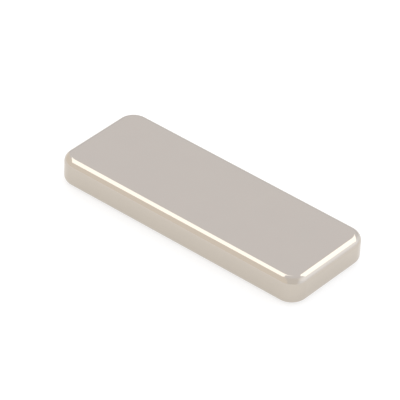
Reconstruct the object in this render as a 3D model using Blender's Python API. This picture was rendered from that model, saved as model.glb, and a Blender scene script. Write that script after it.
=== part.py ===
# Block magnet: one flat sintered bar with a bright nickel plating all over.
# The bar lies on a pole face, with its length along X, its width along Y and its
# thickness up Z. The origin is the centre of the lower pole face.
# Its four upright corners are round in plan, and the edge all round each pole face
# is tumbled to a quarter round. All lengths are in metres.

import bmesh
import bpy

# Overall size
LENGTH = 0.040
WIDTH = 0.015
THICKNESS = 0.004

# Rounding
CORNER_RADIUS = 0.0025
EDGE_RADIUS = 0.0010

# Facets in a quarter turn of each round
CORNER_FACETS = 12
EDGE_FACETS = 10

# Nickel plating
PLATING_COLOUR = (0.66, 0.61, 0.55, 1.0)
PLATING_ROUGHNESS = 0.12

CIRCULAR_PROFILE = 0.5
NO_MATERIAL_CHANGE = -1


def clear_scene():
    for item in list(bpy.data.objects):
        bpy.data.objects.remove(item, do_unlink=True)


def nickel_plating():
    plating = bpy.data.materials.new("nickel_plating")
    plating.use_nodes = True
    shader = plating.node_tree.nodes["Principled BSDF"]
    shader.inputs["Base Color"].default_value = PLATING_COLOUR
    shader.inputs["Metallic"].default_value = 1.0
    shader.inputs["Roughness"].default_value = PLATING_ROUGHNESS
    plating.diffuse_color = PLATING_COLOUR
    return plating


def add_bar(mesh):
    # A plain bar that stands on Z = 0, centred on X and Y
    bar = bmesh.ops.create_cube(mesh, size=1.0)
    bmesh.ops.scale(mesh, vec=(LENGTH, WIDTH, THICKNESS), verts=bar["verts"])
    bmesh.ops.translate(mesh, vec=(0.0, 0.0, THICKNESS / 2), verts=bar["verts"])


def round_edges(mesh, edges, radius, facets):
    bmesh.ops.bevel(
        mesh,
        geom=edges,
        offset=radius,
        offset_type="OFFSET",
        affect="EDGES",
        segments=facets,
        profile=CIRCULAR_PROFILE,
        clamp_overlap=False,
        material=NO_MATERIAL_CHANGE,
    )


def is_upright(edge):
    start, end = (vert.co for vert in edge.verts)
    return abs(end.z - start.z) > THICKNESS / 2


def is_pole_face(face):
    return abs(face.normal.z) > 0.5


def round_upright_corners(mesh):
    upright = [edge for edge in mesh.edges if is_upright(edge)]
    round_edges(mesh, upright, CORNER_RADIUS, CORNER_FACETS)


def round_pole_edges(mesh):
    mesh.normal_update()
    rims = {edge for face in mesh.faces if is_pole_face(face) for edge in face.edges}
    in_order = sorted(rims, key=lambda edge: edge.index)
    round_edges(mesh, in_order, EDGE_RADIUS, EDGE_FACETS)


def magnet_block(plating):
    mesh = bmesh.new()
    add_bar(mesh)
    round_upright_corners(mesh)
    mesh.edges.index_update()
    round_pole_edges(mesh)
    bmesh.ops.recalc_face_normals(mesh, faces=mesh.faces)

    data = bpy.data.meshes.new("magnet_block")
    mesh.to_mesh(data)
    mesh.free()
    data.shade_smooth()
    data.materials.append(plating)

    block = bpy.data.objects.new("magnet_block", data)
    bpy.context.scene.collection.objects.link(block)
    return block


clear_scene()
magnet_block(nickel_plating())
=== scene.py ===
# Block magnet with bright nickel plating, on a pale table in soft studio light.
from math import cos, hypot, radians, sin

import bmesh
import bpy
from mathutils import Matrix, Vector


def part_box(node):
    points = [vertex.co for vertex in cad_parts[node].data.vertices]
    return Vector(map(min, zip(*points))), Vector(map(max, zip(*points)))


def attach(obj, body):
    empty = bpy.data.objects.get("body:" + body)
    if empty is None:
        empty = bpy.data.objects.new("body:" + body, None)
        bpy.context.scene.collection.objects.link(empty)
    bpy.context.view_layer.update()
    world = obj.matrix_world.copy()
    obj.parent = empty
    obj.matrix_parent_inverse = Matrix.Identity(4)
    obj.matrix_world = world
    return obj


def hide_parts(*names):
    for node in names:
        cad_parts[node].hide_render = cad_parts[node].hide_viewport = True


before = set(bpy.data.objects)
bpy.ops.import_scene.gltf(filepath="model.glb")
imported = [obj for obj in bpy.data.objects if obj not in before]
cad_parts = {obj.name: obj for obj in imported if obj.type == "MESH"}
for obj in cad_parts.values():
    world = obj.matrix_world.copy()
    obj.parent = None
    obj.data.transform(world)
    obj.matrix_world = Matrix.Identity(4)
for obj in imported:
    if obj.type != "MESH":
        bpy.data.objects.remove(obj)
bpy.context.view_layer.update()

# The view, as the photograph was taken: a long lens, looking down along the table
viewSettings = {
    "azimuth": 38.39,        # degrees round from the front
    "elevation": 36.54,      # degrees above the table
    "roll": 3.11,            # degrees the horizon leans
    "distance": 0.46575,     # from the aim point
    "aim": (-0.003501, 0.002164, 0.0),
    "lens": 322.7,           # millimetres, on a sensor of the next width
    "sensorWidth": 36.0,
    "clip": (0.01, 20.0),
}


def viewAxes(settings):
    # right, up and back of the camera, and the level directions right and away from it
    a, e, lean = (radians(settings[k]) for k in ("azimuth", "elevation", "roll"))
    back = Vector((cos(e) * sin(a), -cos(e) * cos(a), sin(e)))
    levelRight = Vector((cos(a), sin(a), 0.0))
    levelAway = Vector((-sin(a), cos(a), 0.0))
    levelUp = back.cross(levelRight)
    right = cos(lean) * levelRight + sin(lean) * levelUp
    up = cos(lean) * levelUp - sin(lean) * levelRight
    return right, up, back, levelRight, levelAway


def headingOf(rightward, away, view):
    # the way to a place at these degrees from straight above
    _, _, _, levelRight, levelAway = viewAxes(view)
    tilt = hypot(rightward, away)
    level = (rightward * levelRight + away * levelAway) / tilt
    return sin(radians(tilt)) * level + cos(radians(tilt)) * Vector((0.0, 0.0, 1.0))


def makeCamera(settings):
    right, up, back, _, _ = viewAxes(settings)
    data = bpy.data.cameras.new("camera")
    data.sensor_width = settings["sensorWidth"]
    data.lens = settings["lens"]
    data.clip_start, data.clip_end = settings["clip"]
    camera = bpy.data.objects.new("camera", data)
    place = Matrix((right, up, back)).transposed().to_4x4()
    place.translation = Vector(settings["aim"]) + settings["distance"] * back
    camera.matrix_world = place
    bpy.context.scene.collection.objects.link(camera)
    bpy.context.scene.camera = camera


def addObject(name, bm, material):
    data = bpy.data.meshes.new(name)
    bm.to_mesh(data)
    bm.free()
    data.materials.append(material)
    piece = bpy.data.objects.new(name, data)
    bpy.context.scene.collection.objects.link(piece)
    return piece


def newMaterial(name):
    material = bpy.data.materials.new(name)
    material.use_nodes = True
    nodes = material.node_tree.nodes
    return material, nodes, material.node_tree.links, nodes["Principled BSDF"]


def emissionMaterial(name, colour, strength):
    material = bpy.data.materials.new(name)
    material.use_nodes = True
    nodes, links = material.node_tree.nodes, material.node_tree.links
    nodes.clear()
    glow = nodes.new("ShaderNodeEmission")
    glow.inputs["Color"].default_value = (*colour, 1.0)
    glow.inputs["Strength"].default_value = strength
    out = nodes.new("ShaderNodeOutputMaterial")
    links.new(glow.outputs["Emission"], out.inputs["Surface"])
    return material


def ramp(tree, value, limits, results=(0.0, 1.0)):
    # a socket that goes from one result to the other while the value goes through the limits
    node = tree.nodes.new("ShaderNodeMapRange")
    node.interpolation_type = "SMOOTHSTEP"
    for name, number in zip(("From Min", "From Max", "To Min", "To Max"), (*limits, *results)):
        node.inputs[name].default_value = number
    tree.links.new(value, node.inputs["Value"])
    return node.outputs["Result"]


def along(tree, place, direction):
    # a socket with how far the place lies in the direction
    node = tree.nodes.new("ShaderNodeVectorMath")
    node.operation = "DOT_PRODUCT"
    node.inputs[1].default_value = direction
    tree.links.new(place, node.inputs[0])
    return node.outputs["Value"]


def blend(tree, factor, first, second, kind="MIX"):
    node = tree.nodes.new("ShaderNodeMix")
    node.data_type = "RGBA"
    node.blend_type = kind
    tree.links.new(factor, node.inputs["Factor"])
    for socket, colour in (("A", first), ("B", second)):
        if isinstance(colour, tuple):
            node.inputs[socket].default_value = (*colour, 1.0)
        else:
            tree.links.new(colour, node.inputs[socket])
    return node.outputs["Result"]


# Bright nickel over copper on the ground and tumbled bar
platingSettings = {
    "colour": (0.558, 0.504, 0.438),
    "stain": (0.541, 0.491, 0.429),  # where the plating is a little greyer
    "stainSize": 0.004,
    "stainDetail": 3.0,
    "roughness": 0.06,
    "roughnessSpread": 0.015,
    "roughnessDetail": 2.0,
    "roughnessLimits": (0.3, 0.7),  # the noise values where it is least and most
    "peelSize": 0.0009,      # slow waves in the plating
    "peelHeight": 0.0000006,
    "grainSize": 0.00012,    # ground surface that shows through it
    "grainHeight": 0.00000008,
    "bumpDetail": 1.0,
}


def makePlating(settings):
    material, nodes, links, shader = newMaterial("nickelPlating")
    shader.inputs["Metallic"].default_value = 1.0
    place = nodes.new("ShaderNodeTexCoord").outputs["Object"]

    def noise(size, detail):
        node = nodes.new("ShaderNodeTexNoise")
        node.inputs["Scale"].default_value = 1.0 / size
        node.inputs["Detail"].default_value = detail
        links.new(place, node.inputs["Vector"])
        return node.outputs["Fac"]

    tree = material.node_tree
    stains = noise(settings["stainSize"], settings["stainDetail"])
    stained = blend(tree, stains, settings["colour"], settings["stain"])
    links.new(stained, shader.inputs["Base Color"])
    middle, spread = settings["roughness"], settings["roughnessSpread"]
    waves = noise(settings["peelSize"], settings["roughnessDetail"])
    gloss = ramp(tree, waves, settings["roughnessLimits"], (middle - spread, middle + spread))
    links.new(gloss, shader.inputs["Roughness"])

    under = None
    for size, height in (("grainSize", "grainHeight"), ("peelSize", "peelHeight")):
        bump = nodes.new("ShaderNodeBump")
        bump.inputs["Distance"].default_value = settings[height]
        links.new(noise(settings[size], settings["bumpDetail"]), bump.inputs["Height"])
        if under:
            links.new(under, bump.inputs["Normal"])
        under = bump.outputs["Normal"]
    links.new(under, shader.inputs["Normal"])
    return material


# The block, whose overall size comes from the frame
magnetSettings = {
    "cornerRadius": 0.0025,  # upright corners, in plan
    "edgeRadius": 0.0010,    # tumbled edge round each pole face
    "cornerSegments": 48,
    "edgeSegments": 24,
}


def roundEdges(bm, edges, radius, segments):
    bmesh.ops.bevel(bm, geom=edges, offset=radius, offset_type="OFFSET", affect="EDGES",
                    segments=segments, profile=0.5, clamp_overlap=False, material=-1)


def makeMagnet(settings, material):
    low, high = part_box("magnet_block")
    size = high - low
    bm = bmesh.new()
    bmesh.ops.create_cube(bm, size=1.0)
    bmesh.ops.scale(bm, vec=size, verts=bm.verts)
    bmesh.ops.translate(bm, vec=(low + high) / 2, verts=bm.verts)
    upright = [e for e in bm.edges if abs(e.verts[0].co.z - e.verts[1].co.z) > size.z / 2]
    roundEdges(bm, upright, settings["cornerRadius"], settings["cornerSegments"])
    bm.normal_update()
    bm.edges.index_update()
    rims = {e for f in bm.faces if abs(f.normal.z) > 0.5 for e in f.edges}
    rims = sorted(rims, key=lambda e: e.index)
    roundEdges(bm, rims, settings["edgeRadius"], settings["edgeSegments"])
    bmesh.ops.recalc_face_normals(bm, faces=bm.faces)
    magnet = addObject("magnet", bm, material)
    magnet.data.shade_smooth()
    flats = magnet.modifiers.new("flatsStayFlat", "WEIGHTED_NORMAL")
    flats.mode = "FACE_AREA"
    flats.weight = 100
    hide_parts("magnet_block")
    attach(magnet, "root")
    return magnet


# The pale table, whose own glow keeps it white and the block's shade faint
tableSettings = {
    "size": 3.0,
    "colour": (0.40, 0.40, 0.40),
    "glow": (0.66, 0.66, 0.66),
    "gap": 0.00002,          # under the block, so that the faces don't coincide
}


def makeTable(settings):
    material, _, _, shader = newMaterial("tableTop")
    shader.inputs["Base Color"].default_value = (*settings["colour"], 1.0)
    shader.inputs["Roughness"].default_value = 1.0
    shader.inputs["Specular IOR Level"].default_value = 0.0
    shader.inputs["Emission Color"].default_value = (*settings["glow"], 1.0)
    shader.inputs["Emission Strength"].default_value = 1.0
    bm = bmesh.new()
    bmesh.ops.create_grid(bm, x_segments=1, y_segments=1, size=settings["size"] / 2)
    bmesh.ops.translate(bm, vec=(0.0, 0.0, -settings["gap"]), verts=bm.verts)
    table = addObject("table", bm, material)


# The light tent's walls, as seen from the block: cooler behind it, warmer on the left and
# brighter on the right. The blends go by the sine of the way toward each wall.
tentSettings = {
    "backWall": (1.005, 1.015, 1.08),
    "frontWall": (0.95, 0.94, 0.94),
    "leftWall": (1.10, 1.05, 1.0),
    "rightWall": (1.17, 1.21, 1.30),
    "rightSpill": (0.22, 0.22, 0.22),   # added round the heading of the spill
    "horizonShade": 0.80,    # how far the back wall darkens toward the table
    "shadeHeight": 0.55,     # and from what height, as a sine
    "depthBlend": (-0.4, 0.4),
    "leftBlend": (0.3, 0.5),
    "rightBlend": (0.4, 0.8),
    "spillBlend": (0.8, 1.0),
    "spillHeading": (52.0, 0.0),
}


def makeTent(settings, view):
    world = bpy.data.worlds.new("lightTent")
    bpy.context.scene.world = world
    world.use_nodes = True
    tree = world.node_tree
    _, _, _, levelRight, levelAway = viewAxes(view)
    heading = tree.nodes.new("ShaderNodeTexCoord").outputs["Generated"]

    def share(direction, limits):
        return ramp(tree, along(tree, heading, direction), limits)

    low = tuple(settings["horizonShade"] * c for c in settings["backWall"])
    back = blend(tree, share((0.0, 0.0, 1.0), (0.0, settings["shadeHeight"])), low, settings["backWall"])
    walls = blend(tree, share(levelAway, settings["depthBlend"]), settings["frontWall"], back)
    walls = blend(tree, share(-levelRight, settings["leftBlend"]), walls, settings["leftWall"])
    walls = blend(tree, share(levelRight, settings["rightBlend"]), walls, settings["rightWall"])
    spill = share(headingOf(*settings["spillHeading"], view), settings["spillBlend"])
    walls = blend(tree, spill, walls, settings["rightSpill"], "ADD")
    tree.links.new(walls, tree.nodes["Background"].inputs["Color"])


# The far panels, narrow enough to show in the rounded rim and seldom in the flat faces. A corner
# is the way to it from the block, as degrees from straight above: first to the right, then away
# from the camera.
panelSettings = {
    "longPanel": {
        "distance": 0.50,
        "colour": (1.0, 1.0, 1.0),
        "glow": 2.05,
        "corners": ((4.0, 44.0), (-13.0, 50.0), (-33.0, 24.0), (-44.0, 3.0), (-21.0, 4.0)),
    },
    "endPanel": {
        "distance": 0.50,
        "colour": (1.0, 1.0, 1.0),
        "glow": 2.15,
        "corners": ((7.5, 44.0), (11.0, 52.5), (35.0, 39.0), (60.0, 12.0), (43.0, 13.0), (19.0, 22.0)),
    },
}


def makePanel(name, points, material):
    # a flat panel that the camera doesn't see
    bm = bmesh.new()
    bm.faces.new([bm.verts.new(point) for point in points])
    panel = addObject(name, bm, material)
    panel.visible_camera = False


def makePanels(panels, view):
    for name, panel in panels.items():
        cloth = emissionMaterial(name + "Cloth", panel["colour"], panel["glow"])
        headings = [headingOf(*corner, view) for corner in panel["corners"]]
        middle = sum(headings, Vector()).normalized()
        makePanel(name, [h * panel["distance"] / h.dot(middle) for h in headings], cloth)


makeCamera(viewSettings)
makeTable(tableSettings)
makeTent(tentSettings, viewSettings)
makePanels(panelSettings, viewSettings)
bpy.context.scene.view_settings.view_transform = "Standard"
bpy.context.scene.view_settings.look = "None"
print("studio and camera ready")

magnet = makeMagnet(magnetSettings, makePlating(platingSettings))
print("magnet made,", len(magnet.data.polygons), "faces")
